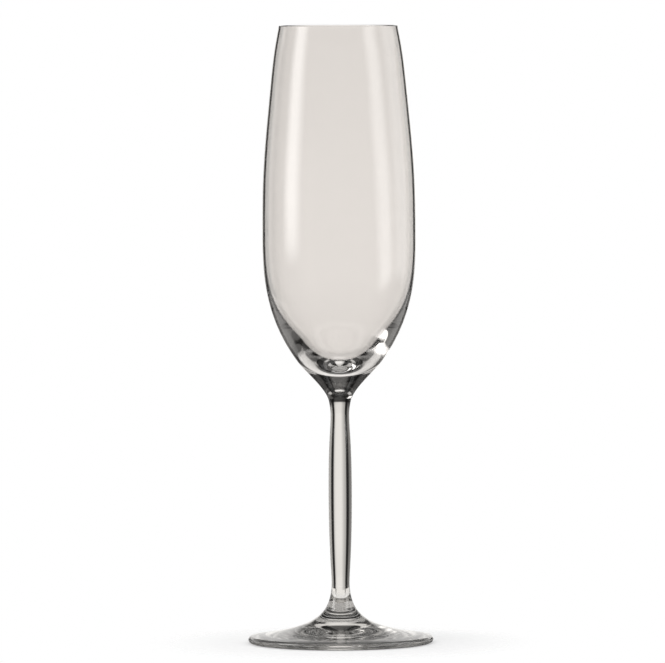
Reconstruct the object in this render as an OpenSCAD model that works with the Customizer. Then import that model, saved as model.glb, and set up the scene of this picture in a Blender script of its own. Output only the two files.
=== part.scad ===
// Champagne flute in clear glass. The bowl, the drawn stem and the pressed foot are three
// gathers of glass, fused at two flat seams. All three are turned about the upright axis Z,
// and the foot stands on the plane z = 0.

/* [Overall stack] */
// Height of the foot, from the table to the lower seam
foot_h = 17.2; // [14:0.1:20]
// Length of the stem, from the lower seam to the upper seam
stem_l = 81.7; // [60:0.1:110]
// Height of the bowl, from the upper seam to the rim
bowl_h = 153.1; // [130:0.1:175]

/* [Bowl, outside] */
// Outer diameter at the rim
rim_d = 48.5; // [44:0.1:53]
// Lean of the wall at the rim, inwards from upright
rim_lean = 10.7; // [6:0.1:15]
// Outer diameter at the shoulder
shoulder_d = 55.3; // [53.5:0.1:58]
// Drop from the rim to the shoulder
shoulder_drop = 24; // [18:0.1:34]
// Lean of the wall at the shoulder, inwards from upright
shoulder_lean = 5.7; // [3:0.1:8]
// Outer diameter at the belly, the widest place of the bowl
belly_d = 62.6; // [59:0.1:68]
// Height of the belly above the upper seam
belly_up = 66.1; // [56:0.1:76]
// Outer diameter where the belly turns into the base cone
cone_d = 34.6; // [30:0.1:38]
// Height of that place above the upper seam
cone_up = 16.3; // [13:0.1:20]
// Lean of the wall there, outwards from upright
cone_lean = 36; // [28:0.5:42]

/* [Bowl, inside] */
// Thickness of the wall at the rim, which the rim bead rounds over
rim_wall = 0.8; // [0.6:0.05:1.4]
// Thickness of the wall at the shoulder
shoulder_wall = 0.8; // [0.6:0.05:1.4]
// Thickness of the wall at the belly
belly_wall = 0.95; // [0.7:0.05:1.6]
// Diameter of the cavity where it starts to close
hollow_d = 40.4; // [36:0.1:43]
// Height of that place above the upper seam
hollow_up = 28.1; // [26:0.1:33]
// Lean of the cavity wall there, outwards from upright
hollow_lean = 38; // [30:0.5:48]
// Thickness of solid glass under the cavity, down to the upper seam
base_t = 14.2; // [10:0.1:20]

/* [Stem] */
// Diameter of the upper seam, where the stem meets the bowl
top_seam_d = 8.9; // [8:0.1:11]
// Flare at the upper seam, from upright
top_seam_flare = 11.5; // [4:0.5:20]
// Diameter of the waist under the bowl
waist_d = 7.6; // [6.6:0.1:9]
// Drop from the upper seam to the waist
waist_drop = 5.5; // [4:0.1:9]
// Diameter of the stem at its middle swell
swell_d = 9.5; // [8:0.1:11.5]
// Height of the swell above the lower seam
swell_up = 44.5; // [30:0.1:48]
// Diameter of the neck above the foot
neck_d = 7.3; // [6.2:0.1:9]
// Height of the neck above the lower seam
neck_up = 7.4; // [5:0.1:12]
// Diameter of the lower seam, where the stem meets the foot
low_seam_d = 9.6; // [8.6:0.1:12]
// Flare at the lower seam, from upright
low_seam_flare = 18; // [8:0.5:26]

/* [Foot] */
// Diameter of the foot over its rounded edge
foot_d = 75.5; // [68:0.1:86]
// Thickness of the rounded edge
edge_t = 2.8; // [2:0.1:3.6]
// Lift of the edge's underside above the table
edge_lift = 0.2; // [0.1:0.05:0.6]
// Slope of the upper side where it meets the edge, from level
edge_slope = 7.5; // [4:0.5:12]
// Outer diameter of the flat ring that the glass stands on
ring_d = 66; // [60:0.1:67]
// Width of that flat ring
ring_w = 2.5; // [1.5:0.1:5]
// Height of the hollow under the foot, at its middle
under_h = 2.2; // [0.8:0.1:4]

/* [Hidden] */

// points along each stretch of a curve, and along each rounded edge
steps = 16;
edge_steps = 8;
$fn = 96;

// how far a curve follows its tangent at each end, as a share of the height that it spans
rim_pull = 0.36;
shoulder_pull_up = 0.57;
shoulder_pull_down = 0.48;
belly_pull_up = 0.43;
belly_pull_down = 0.40;
cone_pull_up = 0.375;
cone_pull_down = 0.336;
top_seam_pull = 0.32;
hollow_pull_up = 0.36;
hollow_pull_down = 0.60;
floor_pull = 0.60;
waist_pull_up = 0.35;
waist_pull_down = 0.23;
swell_pull_up = 0.71;
swell_pull_down = 0.65;
neck_pull_up = 0.13;
neck_pull_down = 0.35;
low_seam_pull = 0.35;
collar_pull = 0.56;
apron_pull = 1.52;

// heights above the table
low_seam_z = foot_h;
top_seam_z = foot_h + stem_l;
rim_z = top_seam_z + bowl_h;

// places on the outline, as [radius, height]
shoulder_at = [shoulder_d / 2, rim_z - shoulder_drop];
belly_at = [belly_d / 2, top_seam_z + belly_up];
cone_at = [cone_d / 2, top_seam_z + cone_up];
top_seam_at = [top_seam_d / 2, top_seam_z];
hollow_at = [hollow_d / 2, top_seam_z + hollow_up];
floor_at = [0, top_seam_z + base_t];
waist_at = [waist_d / 2, top_seam_z - waist_drop];
swell_at = [swell_d / 2, low_seam_z + swell_up];
neck_at = [neck_d / 2, low_seam_z + neck_up];
low_seam_at = [low_seam_d / 2, low_seam_z];

// the rim bead, a half circle across the wall
rim_bead_r = rim_wall / 2;
rim_bead_at = [rim_d / 2 - rim_bead_r, rim_z - rim_bead_r];
rim_out_at = rim_bead_at + [rim_bead_r, 0];
rim_in_at = rim_bead_at - [rim_bead_r, 0];

// the rounded edge of the foot, and where the upper side runs into it
edge_r = edge_t / 2;
edge_at = [foot_d / 2 - edge_r, edge_lift + edge_r];
edge_top_at = edge_at + edge_r * [sin(edge_slope), cos(edge_slope)];
ring_out_at = [ring_d / 2, 0];
ring_in_at = [ring_d / 2 - ring_w, 0];

// radius of the shallow dome under the foot
under_r = (pow(ring_in_at[0], 2) + pow(under_h, 2)) / (2 * under_h);

// unit vector in the outline that leans by an angle from upright
function leaning(angle) = [sin(angle), cos(angle)];

// point at t along the cubic curve with the four control points c
function on_cubic(c, t) =
    pow(1 - t, 3) * c[0] + 3 * pow(1 - t, 2) * t * c[1]
    + 3 * (1 - t) * t * t * c[2] + pow(t, 3) * c[3];

// points from a down to b, leaving and arriving along the given unit vectors, which point up;
// the pulls are shares of the height between the two places
function curve_down(a, a_up, a_pull, b, b_up, b_pull) =
    let (span = a[1] - b[1])
    [for (i = [0 : steps])
        on_cubic([a, a - a_pull * span * a_up, b + b_pull * span * b_up, b], i / steps)];

// points round a centre from one angle to another
function arc(centre, r, from, to) =
    [for (i = [0 : edge_steps])
        centre + r * [cos(from + (to - from) * i / edge_steps),
                      sin(from + (to - from) * i / edge_steps)]];

// all but the first point of a list, so that neighbouring stretches share their end point once
function rest_of(points) = [for (i = [1 : len(points) - 1]) points[i]];

// all but the first and last point of a list
function inside_of(points) = [for (i = [1 : len(points) - 2]) points[i]];

// a list of points in the other order
function reversed(points) = [for (i = [len(points) - 1 : -1 : 0]) points[i]];

// outside of the bowl, from the rim down to the upper seam
bowl_outside = concat(
    curve_down(rim_out_at, leaning(-rim_lean), rim_pull,
               shoulder_at, leaning(-shoulder_lean), shoulder_pull_up),
    rest_of(curve_down(shoulder_at, leaning(-shoulder_lean), shoulder_pull_down,
                       belly_at, leaning(0), belly_pull_up)),
    rest_of(curve_down(belly_at, leaning(0), belly_pull_down,
                       cone_at, leaning(cone_lean), cone_pull_up)),
    rest_of(curve_down(cone_at, leaning(cone_lean), cone_pull_down,
                       top_seam_at, leaning(top_seam_flare), top_seam_pull)));

// inside of the bowl, from the rim down to the floor of the cavity
bowl_inside = concat(
    curve_down(rim_in_at, leaning(-rim_lean), rim_pull,
               shoulder_at - [shoulder_wall, 0], leaning(-shoulder_lean), shoulder_pull_up),
    rest_of(curve_down(shoulder_at - [shoulder_wall, 0], leaning(-shoulder_lean),
                       shoulder_pull_down,
                       belly_at - [belly_wall, 0], leaning(0), belly_pull_up)),
    rest_of(curve_down(belly_at - [belly_wall, 0], leaning(0), belly_pull_down,
                       hollow_at, leaning(hollow_lean), hollow_pull_up)),
    rest_of(curve_down(hollow_at, leaning(hollow_lean), hollow_pull_down,
                       floor_at, leaning(90), floor_pull)));

// the stem, from the upper seam down to the lower seam
stem_side = concat(
    curve_down(top_seam_at, leaning(top_seam_flare), top_seam_pull,
               waist_at, leaning(0), waist_pull_up),
    rest_of(curve_down(waist_at, leaning(0), waist_pull_down,
                       swell_at, leaning(0), swell_pull_up)),
    rest_of(curve_down(swell_at, leaning(0), swell_pull_down,
                       neck_at, leaning(0), neck_pull_up)),
    rest_of(curve_down(neck_at, leaning(0), neck_pull_down,
                       low_seam_at, leaning(-low_seam_flare), low_seam_pull)));

// upper side of the foot, from the lower seam down and out to its rounded edge
foot_top = curve_down(low_seam_at, leaning(-low_seam_flare), collar_pull,
                      edge_top_at, leaning(edge_slope - 90), apron_pull);

// the dome under the foot, from the flat ring in to its middle
foot_under = [for (i = [0 : steps])
    let (r = ring_in_at[0] * (1 - i / steps))
    [r, sqrt(pow(under_r, 2) - pow(r, 2)) - under_r + under_h]];

module turned(outline) {
    rotate_extrude() polygon(outline);
}

module bowl() {
    color([0.93, 0.92, 0.90, 0.45])
        turned(concat(
            bowl_outside,
            [[0, top_seam_z]],
            reversed(bowl_inside),
            inside_of(arc(rim_bead_at, rim_bead_r, 180, 0))));
}

module stem() {
    color([0.90, 0.89, 0.87, 0.60])
        turned(concat(stem_side, [[0, low_seam_z], [0, top_seam_z]]));
}

module foot() {
    color([0.86, 0.85, 0.83, 0.60])
        turned(concat(
            foot_top,
            rest_of(arc(edge_at, edge_r, 90 - edge_slope, 0)),
            rest_of(arc(edge_at, edge_r, 0, -90)),
            [ring_out_at],
            foot_under,
            [[0, low_seam_z]]));
}

bowl();
stem();
foot();
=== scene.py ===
"""Champagne flute in clear glass, on a pale floor in soft studio light.

The file has the layout of an add-on and is run as a script. The bowl, the stem and the foot are
drawn as outlines, spun about the upright axis and given a glass each.
"""

import math

import bpy
from bpy.props import FloatProperty, FloatVectorProperty, IntProperty, PointerProperty
from bpy.types import Operator, Panel, PropertyGroup
from mathutils import Matrix, Vector


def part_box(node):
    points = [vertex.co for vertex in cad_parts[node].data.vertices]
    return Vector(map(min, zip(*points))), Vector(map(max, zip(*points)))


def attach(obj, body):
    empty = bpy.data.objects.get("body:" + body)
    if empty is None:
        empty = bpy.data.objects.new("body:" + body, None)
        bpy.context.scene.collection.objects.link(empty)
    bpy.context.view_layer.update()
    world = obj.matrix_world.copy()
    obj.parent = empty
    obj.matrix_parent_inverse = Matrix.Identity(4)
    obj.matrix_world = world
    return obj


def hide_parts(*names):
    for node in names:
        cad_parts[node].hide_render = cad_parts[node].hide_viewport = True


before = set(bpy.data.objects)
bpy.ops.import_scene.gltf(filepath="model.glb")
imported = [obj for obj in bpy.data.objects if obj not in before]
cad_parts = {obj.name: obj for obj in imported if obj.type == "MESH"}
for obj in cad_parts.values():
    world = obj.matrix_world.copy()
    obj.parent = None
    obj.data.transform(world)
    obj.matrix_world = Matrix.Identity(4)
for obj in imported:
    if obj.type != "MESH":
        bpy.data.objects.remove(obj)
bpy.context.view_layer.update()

bl_info = {
    "name": "Champagne flute",
    "version": (1, 0, 0),
    "blender": (4, 5, 0),
    "location": "View3D > Sidebar > Flute",
    "description": "Makes a champagne flute: a blown bowl, a drawn stem and a pressed foot",
    "category": "Object",
}

BOWL_LOW, BOWL_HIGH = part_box("bowl")
STEM_LOW, STEM_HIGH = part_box("stem")
FOOT_LOW, FOOT_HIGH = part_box("foot")

MM = 0.001
BODY = "root"
WHITE = (1.0, 1.0, 1.0, 1.0)


# ---------------------------------------------------------------- settings

def length(name, description, default):
    """A size in metres, shown in the scene's own unit."""
    return FloatProperty(name=name, description=description, default=default, min=0.0,
                         unit="LENGTH", precision=5)


def angle(name, description, degrees):
    """An angle, given here in degrees."""
    return FloatProperty(name=name, description=description, default=math.radians(degrees),
                         unit="ROTATION")


def colour(name, description, default):
    """A colour with no alpha."""
    return FloatVectorProperty(name=name, description=description, default=default, size=3,
                               subtype="COLOR", min=0.0, max=1.0)


def share(name, description, default):
    """A plain number from 0 to 1."""
    return FloatProperty(name=name, description=description, default=default, min=0.0, max=1.0,
                         subtype="FACTOR")


class FluteBowlSizes(PropertyGroup):
    """Sizes of the blown bowl, as in the solids."""
    rim_d: length("Rim", "Outer diameter at the rim", 48.5 * MM)
    rim_lean: angle("Rim lean", "Inward lean of the wall at the rim", 10.7)
    rim_wall: length("Rim wall", "Thickness of the wall at the rim", 0.8 * MM)
    shoulder_d: length("Shoulder", "Outer diameter at the shoulder", 55.3 * MM)
    shoulder_drop: length("Shoulder drop", "Drop from the rim to the shoulder", 24.0 * MM)
    shoulder_lean: angle("Shoulder lean", "Inward lean of the wall at the shoulder", 5.7)
    shoulder_wall: length("Shoulder wall", "Thickness of the wall there", 0.8 * MM)
    belly_d: length("Belly", "Outer diameter at the widest place", 62.6 * MM)
    belly_up: length("Belly height", "Height of the belly above the upper seam", 66.1 * MM)
    belly_wall: length("Belly wall", "Thickness of the wall at the belly", 0.95 * MM)
    cone_d: length("Cone", "Outer diameter where the belly turns into the cone", 34.6 * MM)
    cone_up: length("Cone height", "Height of that place above the upper seam", 16.3 * MM)
    cone_lean: angle("Cone lean", "Outward lean of the wall there", 36.0)
    hollow_d: length("Hollow", "Diameter of the cavity where it starts to close", 40.4 * MM)
    hollow_up: length("Hollow height", "Height of that place above the upper seam", 28.1 * MM)
    hollow_lean: angle("Hollow lean", "Outward lean of the cavity wall there", 38.0)
    base_t: length("Base", "Solid glass between the cavity and the upper seam", 14.2 * MM)


class FluteStemSizes(PropertyGroup):
    """Sizes of the drawn stem and its two seams, as in the solids."""
    top_seam_d: length("Upper seam", "Diameter where the stem meets the bowl", 8.9 * MM)
    top_seam_flare: angle("Upper flare", "Flare of the stem at the upper seam", 11.5)
    waist_d: length("Waist", "Diameter of the waist under the bowl", 7.6 * MM)
    waist_drop: length("Waist drop", "Drop from the upper seam to the waist", 5.5 * MM)
    swell_d: length("Swell", "Diameter of the swell at the stem's middle", 9.5 * MM)
    swell_up: length("Swell height", "Height of the swell above the lower seam", 44.5 * MM)
    neck_d: length("Neck", "Diameter of the neck above the foot", 7.3 * MM)
    neck_up: length("Neck height", "Height of the neck above the lower seam", 7.4 * MM)
    low_seam_d: length("Lower seam", "Diameter where the stem meets the foot", 9.6 * MM)
    low_seam_flare: angle("Lower flare", "Flare of the stem at the lower seam", 18.0)


class FluteFootSizes(PropertyGroup):
    """Sizes of the pressed foot, as in the solids."""
    foot_d: length("Foot", "Diameter over the rounded edge", FOOT_HIGH.x - FOOT_LOW.x)
    edge_t: length("Edge", "Thickness of the rounded edge", 2.8 * MM)
    edge_lift: length("Edge lift", "Height of the edge's underside", 0.2 * MM)
    edge_slope: angle("Edge slope", "Slope of the upper side at the edge, from level", 7.5)
    ring_d: length("Ring", "Outer diameter of the flat ring that it stands on", 66.0 * MM)
    ring_w: length("Ring width", "Width of that ring", 2.5 * MM)
    under_h: length("Hollow", "Height of the dome under the foot", 2.2 * MM)


class FluteGlassLook(PropertyGroup):
    """Colour of the glass, and how it bends and passes light."""
    bowl_tint: colour("Bowl tint", "What the thin wall lets through", (0.932, 0.912, 0.896))
    stem_tint: colour("Stem tint", "What the solid stem lets through", (0.848, 0.828, 0.800))
    foot_tint: colour("Foot tint", "What the foot lets through", (0.815, 0.796, 0.769))
    bowl_pass: share("Bowl shadow", "Lamp light past each surface of the bowl", 0.9)
    stem_pass: share("Stem shadow", "Lamp light past each surface of the stem", 0.8)
    foot_pass: share("Foot shadow", "Lamp light past each surface of the foot", 1.0)
    ior: FloatProperty(name="IOR", description="How much the glass bends light",
                       default=1.52, min=1.3, max=1.9)


class FluteStageSettings(PropertyGroup):
    """Camera and floor, and how finely the pieces are made."""
    camera_far: length("Distance", "Distance from the camera to the glass", 3.2)
    camera_high: length("Height", "Height of the camera above the floor", 285.5 * MM)
    aim_x: FloatProperty(name="Aim", description="Sideways place of the camera",
                         default=-2.86 * MM, unit="LENGTH")
    aim_z: length("Aim height", "Height that the camera looks at", 127.3 * MM)
    roll: angle("Roll", "Turn of the camera about its line of sight", -0.26)
    lens: FloatProperty(name="Lens", description="Focal length, in millimetres", default=425.4)
    floor_d: length("Floor", "Diameter of the floor that catches the shadow", 0.4)
    around: IntProperty(name="Around", description="Faces round each piece", default=192)
    along: IntProperty(name="Along", description="Points on each stretch of an outline",
                       default=20)


# ---------------------------------------------------------------- outlines

# How far an outline follows its direction at a place, as a share of the height to the
# neighbouring place. Of two numbers, the first is for the stretch above and the second below.
RIM_PULL = 0.36
SHOULDER_PULLS = (0.57, 0.48)
BELLY_PULLS = (0.43, 0.40)
CONE_PULLS = (0.375, 0.336)
TOP_SEAM_PULL = 0.32
HOLLOW_PULLS = (0.36, 0.60)
CAVITY_FLOOR_PULL = 0.60
WAIST_PULLS = (0.35, 0.23)
SWELL_PULLS = (0.71, 0.65)
NECK_PULLS = (0.13, 0.35)
LOW_SEAM_PULL = 0.35
COLLAR_PULL = 0.56
APRON_PULL = 1.52


def leaning(lean):
    """Unit vector in the outline that leans outwards by an angle from upright."""
    return Vector((math.sin(lean), math.cos(lean)))


class Place:
    """A place on an outline: radius and height, the direction of the curve there, pointing up,
    and how far the curve follows that direction above and below, as a share of the height to
    the neighbouring place. A pull of 0 is a corner."""

    def __init__(self, r, z, up=None, pull_up=0.0, pull_down=0.0):
        self.at = Vector((r, z))
        self.up = up or leaning(0.0)
        self.pull_up = pull_up
        self.pull_down = pull_down


def stretches(places):
    """Bezier points (before, at, after) for places that are listed from the top down."""
    points = []
    for i, p in enumerate(places):
        above = places[i - 1].at.y - p.at.y if i else 0.0
        below = p.at.y - places[i + 1].at.y if i + 1 < len(places) else 0.0
        points.append((p.at + p.pull_up * above * p.up, p.at,
                       p.at - p.pull_down * below * p.up))
    return points


def corner(r, z):
    """A Bezier point with no handles."""
    at = Vector((r, z))
    return (at, at, at)


def joined(*runs):
    """Runs of Bezier points as one, where a run starts on the last place of the run before."""
    points = list(runs[0])
    for run in runs[1:]:
        before, at, _ = points[-1]
        points[-1] = (before, at, run[0][2])
        points += run[1:]
    return points


def backwards(points):
    """The same curve drawn the other way."""
    return [(after, at, before) for before, at, after in reversed(points)]


def arc(centre, r, start, turn, parts=2):
    """Bezier points of an arc about a centre, from a start angle and turning by another."""
    step = turn / parts
    # the handle length with which a cubic curve follows one part
    pull = 4.0 / 3.0 * math.tan(abs(step) / 4.0) * r
    points = []
    for i in range(parts + 1):
        a = start + i * step
        out = Vector((math.cos(a), math.sin(a)))
        along = Vector((-out.y, out.x)) * math.copysign(pull, turn)
        at = centre + r * out
        points.append((at - along, at, at + along))
    return points


def bowl_outline(b, s):
    """The closed outline of the bowl, from the rim bead round to the axis and back."""
    top_z, rim_z = STEM_HIGH.z, BOWL_HIGH.z
    bead = b.rim_wall / 2
    bead_z = rim_z - bead
    shoulder_z = rim_z - b.shoulder_drop
    shoulder_up = leaning(-b.shoulder_lean)
    belly_z = top_z + b.belly_up
    outside = stretches([
        Place(b.rim_d / 2, bead_z, leaning(-b.rim_lean), pull_down=RIM_PULL),
        Place(b.shoulder_d / 2, shoulder_z, shoulder_up, *SHOULDER_PULLS),
        Place(b.belly_d / 2, belly_z, None, *BELLY_PULLS),
        Place(b.cone_d / 2, top_z + b.cone_up, leaning(b.cone_lean), *CONE_PULLS),
        Place(s.top_seam_d / 2, top_z, leaning(s.top_seam_flare), pull_up=TOP_SEAM_PULL)])
    inside = stretches([
        Place(b.rim_d / 2 - b.rim_wall, bead_z, leaning(-b.rim_lean), pull_down=RIM_PULL),
        Place(b.shoulder_d / 2 - b.shoulder_wall, shoulder_z, shoulder_up, *SHOULDER_PULLS),
        Place(b.belly_d / 2 - b.belly_wall, belly_z, None, *BELLY_PULLS),
        Place(b.hollow_d / 2, top_z + b.hollow_up, leaning(b.hollow_lean), *HOLLOW_PULLS),
        Place(0.0, top_z + b.base_t, leaning(math.pi / 2), pull_up=CAVITY_FLOOR_PULL)])
    rim = arc(Vector((b.rim_d / 2 - bead, bead_z)), bead, math.pi, -math.pi)
    return joined(backwards(inside), rim, outside, [corner(*outside[-1][1]), corner(0.0, top_z)])


def stem_outline(s):
    """The outline of the stem, from the middle of the upper seam to that of the lower seam."""
    top_z, low_z = STEM_HIGH.z, STEM_LOW.z
    side = stretches([
        Place(s.top_seam_d / 2, top_z, leaning(s.top_seam_flare), pull_down=TOP_SEAM_PULL),
        Place(s.waist_d / 2, top_z - s.waist_drop, None, *WAIST_PULLS),
        Place(s.swell_d / 2, low_z + s.swell_up, None, *SWELL_PULLS),
        Place(s.neck_d / 2, low_z + s.neck_up, None, *NECK_PULLS),
        Place(s.low_seam_d / 2, low_z, leaning(-s.low_seam_flare), pull_up=LOW_SEAM_PULL)])
    return joined([corner(0.0, top_z), corner(*side[0][1])], side,
                  [corner(*side[-1][1]), corner(0.0, low_z)])


def foot_outline(f, s):
    """The outline of the foot, from the middle of the lower seam to the middle of its dome."""
    low_z = FOOT_HIGH.z
    edge_r = f.edge_t / 2
    edge = Vector((f.foot_d / 2 - edge_r, f.edge_lift + edge_r))
    edge_top = edge + edge_r * leaning(f.edge_slope)
    apron = stretches([
        Place(s.low_seam_d / 2, low_z, leaning(-s.low_seam_flare), pull_down=COLLAR_PULL),
        Place(*edge_top, leaning(f.edge_slope - math.pi / 2), pull_up=APRON_PULL)])
    rounding = arc(edge, edge_r, math.pi / 2 - f.edge_slope, f.edge_slope - math.pi)
    ring_in = f.ring_d / 2 - f.ring_w
    dome_r = (ring_in ** 2 + f.under_h ** 2) / (2 * f.under_h)
    span = math.asin(ring_in / dome_r)
    dome = arc(Vector((0.0, f.under_h - dome_r)), dome_r, math.pi / 2 - span, span)
    return joined([corner(0.0, low_z), corner(*apron[0][1])], apron, rounding,
                  [corner(*rounding[-1][1]), corner(f.ring_d / 2, 0.0), corner(ring_in, 0.0)],
                  dome)


# ---------------------------------------------------------------- modelling

# points nearer to each other than this are one
MERGE = 0.002 * MM
# how near to a seam's height its flat faces lie, and how upright their normals are
SEAM_NEAR = 0.01 * MM
SEAM_LEVEL = 0.999
# edges that bend by less than this are smooth
SMOOTH = math.radians(30.0)


def nothing_selected():
    """Leaves edit mode and deselects everything."""
    if bpy.context.object and bpy.context.object.mode != "OBJECT":
        bpy.ops.object.mode_set(mode="OBJECT")
    bpy.ops.object.select_all(action="DESELECT")


def drawn(name, points, along):
    """A Bezier curve in the plane Y = 0 through the points, as a mesh of edges."""
    nothing_selected()
    bpy.ops.curve.primitive_bezier_curve_add(location=(0.0, 0.0, 0.0))
    curve = bpy.context.object
    curve.name = name
    spline = curve.data.splines[0]
    curve.data.dimensions = "3D"
    spline.resolution_u = along
    spline.bezier_points.add(len(points) - len(spline.bezier_points))
    for bezier, (before, at, after) in zip(spline.bezier_points, points):
        bezier.handle_left_type = bezier.handle_right_type = "FREE"
        bezier.co = (at.x, 0.0, at.y)
        bezier.handle_left = (before.x, 0.0, before.y)
        bezier.handle_right = (after.x, 0.0, after.y)
    bpy.ops.object.convert(target="MESH")
    return bpy.context.object


def turned(name, points, stage):
    """A closed piece: the outline spun once about the upright axis."""
    piece = drawn(name, points, stage.along)
    bpy.ops.object.mode_set(mode="EDIT")
    bpy.ops.mesh.select_all(action="SELECT")
    bpy.ops.mesh.remove_doubles(threshold=MERGE)
    bpy.ops.mesh.spin(steps=stage.around, angle=math.tau, center=(0.0, 0.0, 0.0),
                      axis=(0.0, 0.0, 1.0))
    bpy.ops.mesh.select_all(action="SELECT")
    bpy.ops.mesh.remove_doubles(threshold=MERGE)
    bpy.ops.mesh.normals_make_consistent(inside=False)
    bpy.ops.object.mode_set(mode="OBJECT")
    bpy.ops.object.shade_smooth_by_angle(angle=SMOOTH)
    return piece


def finished(piece, node, material, *seams):
    """Gives the piece its glass, hides the solid that it stands for and hangs it under the body;
    seams are their heights, where the flat faces take the second material slot."""
    piece.data.materials.append(material)
    piece.data.materials.append(fused_seam())
    for face in piece.data.polygons:
        level = abs(face.normal.z) > SEAM_LEVEL
        on_seam = any(abs(face.center.z - z) < SEAM_NEAR for z in seams)
        face.material_index = int(level and on_seam)
    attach(piece, BODY)
    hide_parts(node)
    nothing_selected()


# ---------------------------------------------------------------- node helpers

# how the nodes lie in the editor: how many in a row, and the room for each
IN_A_ROW = 8
NODE_ROOM = (180, 260)


class Tree:
    """Adds and links nodes in one node tree."""

    def __init__(self, tree):
        self.tree = tree
        self.count = 0

    def add(self, kind, inputs=None, **settings):
        """A new node; inputs maps a socket's name or number to a value or to a socket."""
        node = self.tree.nodes.new(kind)
        self.count += 1
        row, column = divmod(self.count, IN_A_ROW)
        node.location = (column * NODE_ROOM[0], -row * NODE_ROOM[1])
        for key, value in settings.items():
            setattr(node, key, value)
        for key, value in (inputs or {}).items():
            if isinstance(value, bpy.types.NodeSocket):
                self.tree.links.new(value, node.inputs[key])
            else:
                node.inputs[key].default_value = value
        return node

    def math(self, operation, a, b=0.0):
        """The result of one Math node."""
        return self.add("ShaderNodeMath", {0: a, 1: b}, operation=operation).outputs[0]

    def times(self, first, *others):
        """The product of all the values."""
        for other in others:
            first = self.math("MULTIPLY", first, other)
        return first

    def rest(self, value):
        """What is left of 1 after the value."""
        return self.math("SUBTRACT", 1.0, value)

    def at_least(self, count, times):
        """1 where a count of the light's path has come to this number, and 0 before."""
        return self.math("GREATER_THAN", count, times - 0.5)

    def ramp(self, factor, stops, smooth=True):
        """The output of a Color Ramp; stops are (place, grey)."""
        node = self.add("ShaderNodeValToRGB", {"Fac": factor})
        node.color_ramp.interpolation = "EASE" if smooth else "LINEAR"
        elements = node.color_ramp.elements
        while len(elements) < len(stops):
            elements.new(0.5)
        for element, (place, grey) in zip(elements, stops):
            element.position = place
            element.color = (grey, grey, grey, 1.0)
        return node.outputs["Color"]

    def clear(self):
        """A shader that shows what is behind it."""
        return self.add("ShaderNodeBsdfTransparent", {"Color": WHITE}).outputs[0]

    def mix(self, factor, a, b):
        """The first shader where the factor is 0 and the second where it is 1."""
        return self.add("ShaderNodeMixShader", {0: factor, 1: a, 2: b}).outputs[0]


def new_material(name):
    """An empty material, and its Tree."""
    material = bpy.data.materials.new(name)
    material.use_nodes = True
    material.node_tree.nodes.clear()
    return material, Tree(material.node_tree)


def new_group(name, inputs, outputs):
    """An empty shader node group with named sockets, and its Tree."""
    group = bpy.data.node_groups.new(name, "ShaderNodeTree")
    for label, kind, default in inputs:
        socket = group.interface.new_socket(label, in_out="INPUT", socket_type=kind)
        socket.default_value = default
    for label, kind in outputs:
        group.interface.new_socket(label, in_out="OUTPUT", socket_type=kind)
    return group, Tree(group)


# ---------------------------------------------------------------- glass

# how fine the noises are, in blotches to a metre, and the levels between which they come in
WAVES = 60.0
CLOUDS = 45.0
CLOUD_LEVELS = ((0.45, 0.0), (0.75, 1.0))
SCRATCHES = 900.0
SCRATCH_LEVELS = ((0.64, 0.0), (0.70, 1.0))
GRIT = 1400.0
# roughness added where the standing ring is worn most
WORN = 0.45
# height under which the foot rubs on the table
RUBS_BELOW = 0.4 * MM


def waviness_group():
    """Slow unevenness of hot-worked glass, drawn out along the upright axis."""
    group, t = new_group(
        "glass_waviness",
        [("Size", "NodeSocketFloat", WAVES), ("Drawn out", "NodeSocketFloat", 0.25)],
        [("Height", "NodeSocketFloat")])
    inp = t.add("NodeGroupInput")
    place = t.add("ShaderNodeTexCoord").outputs["Object"]
    stretch = t.add("ShaderNodeCombineXYZ", {0: 1.0, 1: 1.0, 2: inp.outputs["Drawn out"]})
    place = t.add("ShaderNodeVectorMath", {0: place, 1: stretch.outputs[0]},
                  operation="MULTIPLY").outputs[0]
    broad = t.add("ShaderNodeTexNoise",
                  {"Vector": place, "Scale": inp.outputs["Size"], "Detail": 1.0})
    t.add("NodeGroupOutput", {"Height": broad.outputs["Fac"]})
    return group


def haze_group():
    """Faint cloudy patches left by washing and polishing, and fine stray scratches."""
    group, t = new_group(
        "washing_haze",
        [("Patches", "NodeSocketFloat", 0.010), ("Scratches", "NodeSocketFloat", 0.02)],
        [("Roughness", "NodeSocketFloat")])
    inp = t.add("NodeGroupInput")
    place = t.add("ShaderNodeTexCoord").outputs["Object"]
    cloud = t.add("ShaderNodeTexNoise", {"Vector": place, "Scale": CLOUDS, "Detail": 3.0})
    cloud = t.ramp(cloud.outputs["Fac"], CLOUD_LEVELS)
    lines = t.add("ShaderNodeTexNoise", {"Vector": place, "Scale": SCRATCHES, "Detail": 2.0})
    lines = t.ramp(lines.outputs["Fac"], SCRATCH_LEVELS)
    patches = t.times(cloud, inp.outputs["Patches"])
    scratches = t.times(lines, inp.outputs["Scratches"])
    t.add("NodeGroupOutput", {"Roughness": t.math("ADD", patches, scratches)})
    return group


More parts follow.
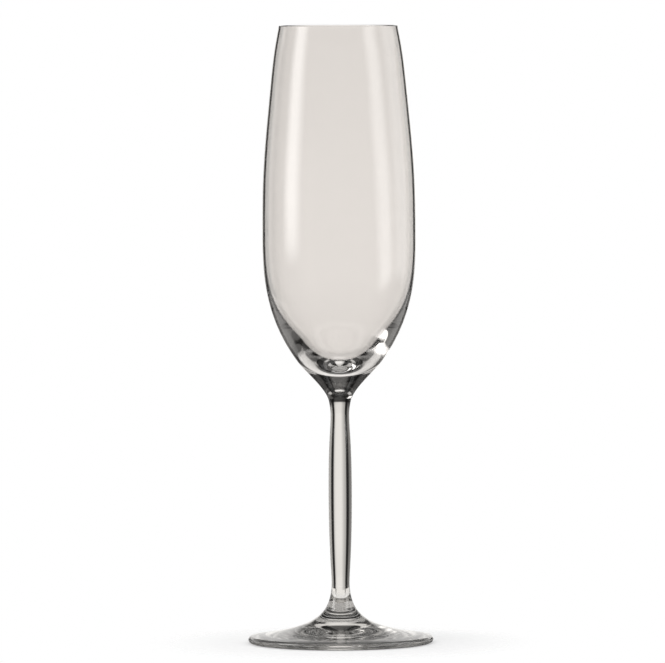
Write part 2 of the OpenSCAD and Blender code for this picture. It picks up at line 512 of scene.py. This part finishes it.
def standing_wear_group():
    """Mask of the ring that rubs on the table, 1 on the ring and 0 away from it."""
    group, t = new_group(
        "standing_wear",
        [("Radius", "NodeSocketFloat", 0.03), ("Width", "NodeSocketFloat", 0.002)],
        [("Mask", "NodeSocketFloat")])
    inp = t.add("NodeGroupInput")
    place = t.add("ShaderNodeTexCoord").outputs["Object"]
    x, y, z = t.add("ShaderNodeSeparateXYZ", {0: place}).outputs
    r = t.math("SQRT", t.math("ADD", t.times(x, x), t.times(y, y)))
    away = t.math("ABSOLUTE", t.math("SUBTRACT", r, inp.outputs["Radius"]))
    near = t.math("MAXIMUM", t.rest(t.math("DIVIDE", away, inp.outputs["Width"])), 0.0)
    low = t.math("LESS_THAN", z, RUBS_BELOW)
    grit = t.add("ShaderNodeTexNoise", {"Vector": place, "Scale": GRIT, "Detail": 3.0})
    t.add("NodeGroupOutput", {"Mask": t.times(near, low, grit.outputs["Fac"])})
    return group


SHARED = {"glass_waviness": waviness_group, "washing_haze": haze_group,
          "standing_wear": standing_wear_group}


def shared(t, name, **inputs):
    """A shared group, made once, placed in a material with its own values."""
    node = t.add("ShaderNodeGroup")
    node.node_tree = bpy.data.node_groups.get(name) or SHARED[name]()
    for label, value in inputs.items():
        node.inputs[label.replace("_", " ")].default_value = value
    return node


def glass(name, tint, passed, ior, patches, scratches, drawn_out, bump, worn_ring=None):
    """Clear glass. A lamp's light goes straight on behind it, so that the floor is lit there;
    each surface passes a share of that light. A worn ring is its radius and width."""
    material, t = new_material(name)
    haze = shared(t, "washing_haze", Patches=patches, Scratches=scratches)
    roughness = haze.outputs["Roughness"]
    if worn_ring:
        wear = shared(t, "standing_wear", Radius=worn_ring[0], Width=worn_ring[1])
        roughness = t.math("ADD", roughness, t.times(wear.outputs["Mask"], WORN))
    waves = shared(t, "glass_waviness", Drawn_out=drawn_out)
    normal = t.add("ShaderNodeBump", {"Height": waves.outputs["Height"], "Strength": 1.0,
                                      "Distance": bump})
    seen = t.add("ShaderNodeBsdfPrincipled",
                 {"Base Color": (*tint, 1.0), "Roughness": roughness, "IOR": ior,
                  "Transmission Weight": 1.0, "Normal": normal.outputs["Normal"]})
    lit = t.add("ShaderNodeBsdfTransparent", {"Color": (passed, passed, passed, 1.0)})
    from_lamp = t.add("ShaderNodeLightPath").outputs["Is Shadow Ray"]
    t.add("ShaderNodeOutputMaterial",
          {"Surface": t.mix(from_lamp, seen.outputs[0], lit.outputs[0])})
    return material


def fused_seam():
    """The inside of a fused seam, where glass runs on into glass and nothing shows."""
    name = "fused_seam"
    if name in bpy.data.materials:
        return bpy.data.materials[name]
    material, t = new_material(name)
    t.add("ShaderNodeOutputMaterial", {"Surface": t.clear()})
    return material


# ---------------------------------------------------------------- pieces

class FLUTE_OT_bowl(Operator):
    """Blow the bowl: thin wall, rim bead and thick solid base"""
    bl_idname = "flute.bowl"
    bl_label = "Bowl"

    def execute(self, context):
        scene = context.scene
        look = scene.flute_look
        piece = turned("bowl_glass_body", bowl_outline(scene.flute_bowl, scene.flute_stem),
                       scene.flute_stage)
        material = glass("bowl_glass", look.bowl_tint, look.bowl_pass, look.ior,
                         patches=0.008, scratches=0.01, drawn_out=0.25, bump=0.002 * MM)
        finished(piece, "bowl", material, STEM_HIGH.z)
        return {"FINISHED"}


class FLUTE_OT_stem(Operator):
    """Draw the stem: waist, swell and neck between the two seams"""
    bl_idname = "flute.stem"
    bl_label = "Stem"

    def execute(self, context):
        scene = context.scene
        look = scene.flute_look
        piece = turned("stem_glass_body", stem_outline(scene.flute_stem), scene.flute_stage)
        material = glass("stem_glass", look.stem_tint, look.stem_pass, look.ior,
                         patches=0.006, scratches=0.01, drawn_out=0.08, bump=0.001 * MM)
        finished(piece, "stem", material, STEM_HIGH.z, STEM_LOW.z)
        return {"FINISHED"}


class FLUTE_OT_foot(Operator):
    """Press the foot: collar, apron, rounded edge, standing ring and dome"""
    bl_idname = "flute.foot"
    bl_label = "Foot"

    def execute(self, context):
        scene = context.scene
        look = scene.flute_look
        sizes = scene.flute_foot
        piece = turned("foot_glass_body", foot_outline(sizes, scene.flute_stem),
                       scene.flute_stage)
        ring = (sizes.ring_d / 2 - sizes.ring_w / 2, sizes.ring_w)
        material = glass("foot_glass", look.foot_tint, look.foot_pass, look.ior,
                         patches=0.012, scratches=0.02, drawn_out=1.0, bump=0.003 * MM,
                         worn_ring=ring)
        finished(piece, "foot", material, FOOT_HIGH.z)
        return {"FINISHED"}


# ---------------------------------------------------------------- floor

# The floor's greys by distance from the axis. A painted contact shadow darkens it where the foot
# stands, and for light mirrored in the glass a darker painted shadow lies under the foot's edge.
# Further out it fades into the backdrop.
PAPER = 0.94
# grey of the painted contact shadow where the foot stands
CONTACT_SHADOW_GREY = 0.25
EDGE_SHADE = 0.04
TONES_REACH = 50.0 * MM
CONTACT_SHADOW_RING = ((27.5 * MM, PAPER), (30.5 * MM, CONTACT_SHADOW_GREY), (33.5 * MM, CONTACT_SHADOW_GREY), (37.0 * MM, PAPER))
# painted shadow under the foot's edge, shown only in what the glass mirrors
EDGE_SHADOW_RING = ((31.0 * MM, PAPER), (33.0 * MM, EDGE_SHADE), (45.0 * MM, EDGE_SHADE),
              (50.0 * MM, PAPER))
FADE_REACH = 200.0 * MM
FADE = ((40.0 * MM, 0.0), (84.0 * MM, 1.0))


def floor_material():
    """Pale floor with painted shadows under the foot, fading out into the white of the backdrop.
    """
    material, t = new_material("pale_floor")
    place = t.add("ShaderNodeTexCoord").outputs["Object"]
    r = t.add("ShaderNodeVectorMath", {0: place}, operation="LENGTH").outputs["Value"]

    def by_radius(stops, reach):
        """A value that follows the distance from the axis, out to the reach."""
        return t.ramp(t.math("DIVIDE", r, reach), [(at / reach, value) for at, value in stops])

    depth = t.add("ShaderNodeLightPath").outputs["Glossy Depth"]
    # painted shadows: the contact ring seen straight, the edge ring in what the glass mirrors
    paper_and_shadow = t.add("ShaderNodeMix", {"Factor": t.at_least(depth, 1),
                                   "A": by_radius(CONTACT_SHADOW_RING, TONES_REACH),
                                   "B": by_radius(EDGE_SHADOW_RING, TONES_REACH)}, data_type="RGBA")
    paper = t.add("ShaderNodeBsdfDiffuse", {"Color": paper_and_shadow.outputs["Result"]})
    gone = by_radius(FADE, FADE_REACH)
    t.add("ShaderNodeOutputMaterial", {"Surface": t.mix(gone, paper.outputs[0], t.clear())})
    return material


# ---------------------------------------------------------------- world

# How bright the surroundings are for light that was bent but not mirrored, by azimuth in
# degrees. 0 is straight behind the glass, for a camera in front; black cards stand on either
# side of the bright backdrop and grey ones beyond them.
BACKDROP = ((-78, 0.90), (-68, 0.30), (-48, 0.22), (-38.5, 0.18), (-36.5, 0.01), (-23.5, 0.01),
            (-21.5, 0.45), (-15, 0.60), (-11, 0.72), (-8, 0.85), (-3, 1.0), (12, 1.0),
            (19, 0.92), (24, 0.60), (26.5, 0.01), (40, 0.01), (42, 0.40), (46, 0.50),
            (68, 0.50), (78, 0.90))
# The same for light that was mirrored in the glass.
MIRRORED = ((-120, 0.20), (-110, 0.12), (-60, 0.12), (-50, 0.60), (-34, 0.55), (-31, 0.30),
            (-29, 0.02), (-15, 0.02), (-12.5, 0.50), (-8, 0.82), (-4, 1.0), (8, 1.0),
            (12.5, 0.85), (15, 0.02), (29, 0.02), (32, 0.50), (36, 0.55), (46, 0.55), (54, 0.12),
            (110, 0.12), (120, 0.20))
# Under the cards lies a bright table, by rise in degrees above the horizon.
TABLE = ((-12.6, 1.0), (-11, 0.0))
# Light that was bent this often went through both walls of the bowl, and doesn't see the cards.
THROUGH_BOWL = 4
PAST_CARDS = ((-24, 0.95), (-21.5, 0.0), (24, 0.0), (26.5, 0.95))
# Table, haze at the horizon, and the dark ceiling.
BACKDROP_RISE = ((-36, 0.92), (-26, 1.0), (-2.3, 1.0), (-0.8, 0.95), (7, 0.93), (15, 0.06))
# Behind the glass a band across the table is a little darker.
TABLE_EDGE = ((-42, 0.0), (-36, 0.15), (36, 0.15), (42, 0.0))
TABLE_EDGE_RISE = ((-46, 0.0), (-40, 1.0), (-36, 1.0), (-24, 0.0))
# Narrow grey flags all round give the solid glass its side lines from other directions; the
# stops are shares of the way from one flag to the next.
FLAGS_ROUND = 8.0
FLAG = ((0.40, 0.0), (0.44, 0.55), (0.56, 0.55), (0.60, 0.0))
BEHIND_CAMERA = ((-84, 1.0), (-78, 0.0), (78, 0.0), (84, 1.0))
# Mirrored once: a bright strip shows over the cards, and all of it darkens towards the floor
# and the ceiling.
OVER_CARDS = ((-65, 0.0), (-50, 1.0), (50, 1.0), (65, 0.0))
OVER_CARDS_RISE = ((6, 0.0), (9, 0.9), (16, 0.9), (20, 0.0))
ONCE_RISE = ((-34, 0.15), (-30, 0.8), (-24, 0.9), (-12, 1.0), (16, 1.0), (24, 0.12))
# Mirrored more often: the cards again, and a bright window to the left of the glass.
WINDOW = ((-118, 0.0), (-112, 1.5), (-78, 1.5), (-70, 0.0))
WINDOW_RISE = ((-16, 0.0), (-13, 1.0), (24, 1.0), (28, 0.0))
OFTEN_RISE = ((-14, 0.75), (-10, 1.0), (16, 1.0), (24, 0.12))

WARM = (1.0, 0.985, 0.965, 1.0)
ROOM_LIGHT = 0.75


class Surroundings:
    """Values that follow the direction in which the world is seen."""

    def __init__(self, t):
        self.t = t
        towards = t.add("ShaderNodeTexCoord").outputs["Generated"]
        x, y, z = t.add("ShaderNodeSeparateXYZ", {0: towards}).outputs
        self.turn = t.math("DIVIDE", t.math("ARCTAN2", x, y), math.tau)
        self.rise = t.math("DIVIDE", t.math("ARCSINE", z), math.pi)

    def by_azimuth(self, stops):
        """A value that follows the azimuth, in degrees from -180 to 180."""
        return self.t.ramp(self.t.math("ADD", self.turn, 0.5),
                           [((at + 180) / 360, value) for at, value in stops], smooth=False)

    def by_rise(self, stops):
        """A value that follows the height above the horizon, in degrees from -90 to 90."""
        return self.t.ramp(self.t.math("ADD", self.rise, 0.5),
                           [((at + 90) / 180, value) for at, value in stops])

    def in_field(self, azimuth, rise):
        """The product of a value by azimuth and one by rise."""
        return self.t.times(self.by_azimuth(azimuth), self.by_rise(rise))


def not_mirrored(t, around, hollow):
    """Brightness for light that was only bent; hollow is 1 through both walls of the bowl."""
    table = around.by_rise(TABLE)
    past_cards = t.times(hollow, around.by_azimuth(PAST_CARDS))
    level = t.math("MAXIMUM", around.by_azimuth(BACKDROP), t.math("MAXIMUM", table, past_cards))
    level = t.times(level, around.by_rise(BACKDROP_RISE),
                    t.rest(around.in_field(TABLE_EDGE, TABLE_EDGE_RISE)))
    flag = t.ramp(t.math("FRACT", t.times(around.turn, FLAGS_ROUND)), FLAG)
    flagged = t.math("MAXIMUM", table, around.by_azimuth(BEHIND_CAMERA))
    return t.times(level, t.rest(t.times(flag, flagged, t.rest(hollow))))


def mirrored_once(t, around):
    """Brightness for light that was mirrored once."""
    level = t.math("MAXIMUM", around.by_azimuth(MIRRORED),
                   around.in_field(OVER_CARDS, OVER_CARDS_RISE))
    return t.times(level, around.by_rise(ONCE_RISE))


def mirrored_often(t, around):
    """Brightness for light that was mirrored twice or more."""
    return t.math("ADD", around.in_field(WINDOW, WINDOW_RISE),
                  around.in_field(MIRRORED, OFTEN_RISE))


def studio_world():
    """White to the camera and plain light for the floor. Glass sees a bright backdrop between
    black cards, a bright table and a dark ceiling, and what it mirrors is darker all round."""
    world = bpy.data.worlds.new("studio")
    world.use_nodes = True
    world.node_tree.nodes.clear()
    t = Tree(world.node_tree)
    around = Surroundings(t)
    path = t.add("ShaderNodeLightPath").outputs
    hollow = t.at_least(path["Transmission Depth"], THROUGH_BOWL)
    level = t.add("ShaderNodeMix", {"Factor": t.at_least(path["Glossy Depth"], 1),
                                    "A": not_mirrored(t, around, hollow),
                                    "B": mirrored_once(t, around)}).outputs["Result"]
    level = t.add("ShaderNodeMix", {"Factor": t.at_least(path["Glossy Depth"], 2),
                                    "A": level,
                                    "B": mirrored_often(t, around)}).outputs["Result"]
    warm = t.add("ShaderNodeMix", {"Factor": 1.0, "A": level, "B": WARM},
                 data_type="RGBA", blend_type="MULTIPLY")
    studio = t.add("ShaderNodeBackground", {"Color": warm.outputs["Result"], "Strength": 1.0})
    white = t.add("ShaderNodeBackground", {"Color": WHITE, "Strength": 1.0})
    room = t.add("ShaderNodeBackground", {"Color": WHITE, "Strength": ROOM_LIGHT})
    shown = t.mix(path["Is Glossy Ray"], room.outputs[0], studio.outputs[0])
    shown = t.mix(path["Is Camera Ray"], shown, white.outputs[0])
    t.add("ShaderNodeOutputWorld", {"Surface": shown})
    return world


# ---------------------------------------------------------------- lights and camera

# Azimuth and tilt are in degrees, and the sizes in metres; fade is the share of the height over
# which the light comes in from the lower end.
SOFT_BOXES = (
    {"name": "soft_box_left", "azimuth": -106.0, "away": 0.50, "low": 0.07, "high": 0.70,
     "width": 0.36, "tilt": 0.0, "strength": 5.0, "fade": 0.18},
    {"name": "soft_box_right", "azimuth": 115.0, "away": 0.25, "low": 0.06, "high": 0.40,
     "width": 0.17, "tilt": -14.0, "strength": 3.0, "fade": 0.12},
    {"name": "soft_box_side", "azimuth": 78.0, "away": 0.25, "low": 0.09, "high": 0.42,
     "width": 0.22, "tilt": 0.0, "strength": 1.6, "fade": 0.12})
BOX_GLOW = (1.0, 0.99, 0.975, 1.0)
# from the middle of a box to its sides
BOX_ACROSS = ((0.1, 1.0), (1.0, 0.0))
LAMP_AT = Vector((-0.7, -0.5, 1.3))
LAMP_D = 0.9
LAMP_WATTS = 8.0
SENSOR_MM = 36.0
SEES_TO = 20.0
# light that goes through the walls and the solid base is bent and mirrored many times
BOUNCES = 32


def soft_box_material(name, strength, fade):
    """A lit cloth that falls off to both sides and to its lower end, and that light mirrored
    once or twice shows."""
    material, t = new_material(name)
    place = t.add("ShaderNodeTexCoord").outputs["Generated"]
    x, y, _ = t.add("ShaderNodeSeparateXYZ", {0: place}).outputs
    from_middle = t.math("ABSOLUTE", t.math("SUBTRACT", t.times(x, 2.0), 1.0))
    across = t.ramp(from_middle, BOX_ACROSS)
    upwards = t.ramp(y, [(0.0, 0.0), (fade, 1.0)])
    depth = t.add("ShaderNodeLightPath").outputs["Glossy Depth"]
    mirrored = t.times(t.at_least(depth, 1), t.rest(t.at_least(depth, 3)))
    glow = t.add("ShaderNodeEmission",
                 {"Color": BOX_GLOW, "Strength": t.times(across, upwards, mirrored, strength)})
    both = t.add("ShaderNodeAddShader", {0: glow.outputs[0], 1: t.clear()})
    t.add("ShaderNodeOutputMaterial", {"Surface": both.outputs[0]})
    return material


def add_soft_box(name, azimuth, away, low, high, width, tilt, strength, fade):
    """A soft box that only mirror images show, facing the axis of the glass."""
    nothing_selected()
    bpy.ops.mesh.primitive_plane_add(size=1.0)
    box = bpy.context.object
    box.name = name
    box.scale = (width, high - low, 1.0)
    bpy.ops.object.transform_apply(location=False, rotation=False, scale=True)
    out = Vector((math.sin(math.radians(azimuth)), math.cos(math.radians(azimuth)), 0.0))
    box.location = out * away + Vector((0.0, 0.0, (low + high) / 2))
    facing = (-out).to_track_quat("Z", "Y").to_matrix()
    tilted = Matrix.Rotation(math.radians(tilt), 3, "Z")
    box.rotation_euler = (facing @ tilted).to_euler()
    box.data.materials.append(soft_box_material(name, strength, fade))
    box.visible_camera = False
    box.visible_diffuse = False
    box.visible_transmission = False
    box.visible_shadow = False


def add_floor(diameter):
    """The round floor under the glass."""
    nothing_selected()
    bpy.ops.mesh.primitive_circle_add(vertices=96, radius=diameter / 2, fill_type="NGON",
                                      location=(0.0, 0.0, 0.0))
    floor = bpy.context.object
    floor.name = "floor"
    floor.data.materials.append(floor_material())


def add_lamp():
    """The one lamp, high in front and to the left, which throws the soft shadow."""
    bpy.ops.object.light_add(type="AREA", location=LAMP_AT)
    lamp = bpy.context.object
    lamp.name = "soft_lamp"
    lamp.data.shape = "DISK"
    lamp.data.size = LAMP_D
    lamp.data.energy = LAMP_WATTS
    lamp.rotation_euler = (-LAMP_AT).to_track_quat("-Z", "Y").to_euler()
    lamp.visible_glossy = False
    lamp.visible_transmission = False


def add_camera(scene, stage):
    """The camera at the photograph's viewing angle."""
    camera_data = bpy.data.cameras.new("camera")
    camera = bpy.data.objects.new("camera", camera_data)
    scene.collection.objects.link(camera)
    camera.location = (stage.aim_x, -stage.camera_far, stage.camera_high)
    aim = Vector((stage.aim_x, 0.0, stage.aim_z)) - camera.location
    turn = aim.to_track_quat("-Z", "Y").to_matrix()
    camera.rotation_euler = (turn @ Matrix.Rotation(stage.roll, 3, "Z")).to_euler()
    camera_data.lens = stage.lens
    camera_data.sensor_width = SENSOR_MM
    camera_data.clip_end = SEES_TO
    scene.camera = camera


class FLUTE_OT_stage(Operator):
    """Set up the floor, the soft light and the camera"""
    bl_idname = "flute.stage"
    bl_label = "Stage"

    def execute(self, context):
        scene = context.scene
        add_floor(scene.flute_stage.floor_d)
        scene.world = studio_world()
        add_lamp()
        for box in SOFT_BOXES:
            add_soft_box(**box)
        add_camera(scene, scene.flute_stage)
        scene.view_settings.view_transform = "Standard"
        scene.cycles.max_bounces = BOUNCES
        scene.cycles.glossy_bounces = BOUNCES
        scene.cycles.transmission_bounces = BOUNCES
        return {"FINISHED"}


# ---------------------------------------------------------------- add-on

class FLUTE_PT_panel(Panel):
    """Lists the pieces of the glass and the stage"""
    bl_label = "Champagne flute"
    bl_idname = "FLUTE_PT_panel"
    bl_space_type = "VIEW_3D"
    bl_region_type = "UI"
    bl_category = "Flute"

    def draw(self, context):
        for step in STEPS:
            self.layout.operator("flute." + step)


STEPS = ("stage", "bowl", "stem", "foot")
SETTINGS = {"flute_bowl": FluteBowlSizes, "flute_stem": FluteStemSizes,
            "flute_foot": FluteFootSizes, "flute_look": FluteGlassLook,
            "flute_stage": FluteStageSettings}
CLASSES = (*SETTINGS.values(), FLUTE_OT_bowl, FLUTE_OT_stem, FLUTE_OT_foot, FLUTE_OT_stage,
           FLUTE_PT_panel)


def register():
    """Registers the classes and puts the settings on the scene."""
    for cls in CLASSES:
        bpy.utils.register_class(cls)
    for name, cls in SETTINGS.items():
        setattr(bpy.types.Scene, name, PointerProperty(type=cls))


def unregister():
    """Takes the settings and the classes off again."""
    for name in SETTINGS:
        delattr(bpy.types.Scene, name)
    for cls in reversed(CLASSES):
        bpy.utils.unregister_class(cls)


def main():
    """Makes the stage and the three pieces."""
    register()
    for step in STEPS:
        getattr(bpy.ops.flute, step)()


if __name__ == "__main__":
    main()
